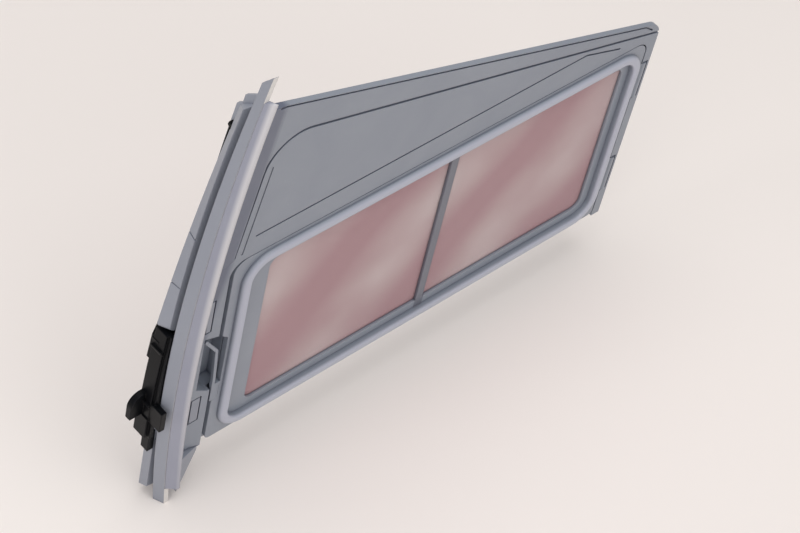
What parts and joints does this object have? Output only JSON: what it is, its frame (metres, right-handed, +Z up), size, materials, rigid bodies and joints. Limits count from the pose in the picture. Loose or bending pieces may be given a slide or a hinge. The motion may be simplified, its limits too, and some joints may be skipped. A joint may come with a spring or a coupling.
{
  "type": "lint filter cassette",
  "caption": "Flat tapering lint filter cassette with a hinged gauze door, a bowed front flange with a soft lip seal, a springy door latch and a swinging lock lever.",
  "frame": {"origin": "foot of the flange at the foremost point of the lip's bow, in the middle plane of the filter body", "axes": "+X from the flange to the tip, the way the cassette goes in; +Z up along the flange; the door is on the -Y side"},
  "size_m": [0.2987, 0.0204, 0.262],
  "materials": {
    "shell": "satin grey-blue moulding",
    "bezel": "satin pale lavender-grey moulding",
    "seal": "soft pale grey",
    "gauze": "fine pink woven mesh",
    "lever": "satin black moulding",
    "pin": "drawn wire"
  },
  "bodies": {
    "cassette": {"body_frame": "shell", "rear_screen": "shell", "rear_gauze": "gauze", "hinge_pins": "pin", "front_bezel": "bezel", "lip_seal": "seal", "lever_pin": "lever"},
    "door": {"mesh_door": "shell", "door_gauze": "gauze", "door_latch": "bezel"},
    "lever": {"lock_lever": "lever"}
  },
  "joints": [
    {"name": "door_hinge", "type": "hinge", "parent": "cassette", "child": "door", "pos_m": [0.2754, -0.0048, 0], "axis": [0, 0, 1], "range_deg": [0, 105]},
    {"name": "lever_swing", "type": "hinge", "parent": "cassette", "child": "lever", "pos_m": [0.0145, 0.0043, 0.226], "axis": [1, 0, 0], "range_deg": [0, 2], "stiffness_Nm_per_rad": 0.5}
  ]
}
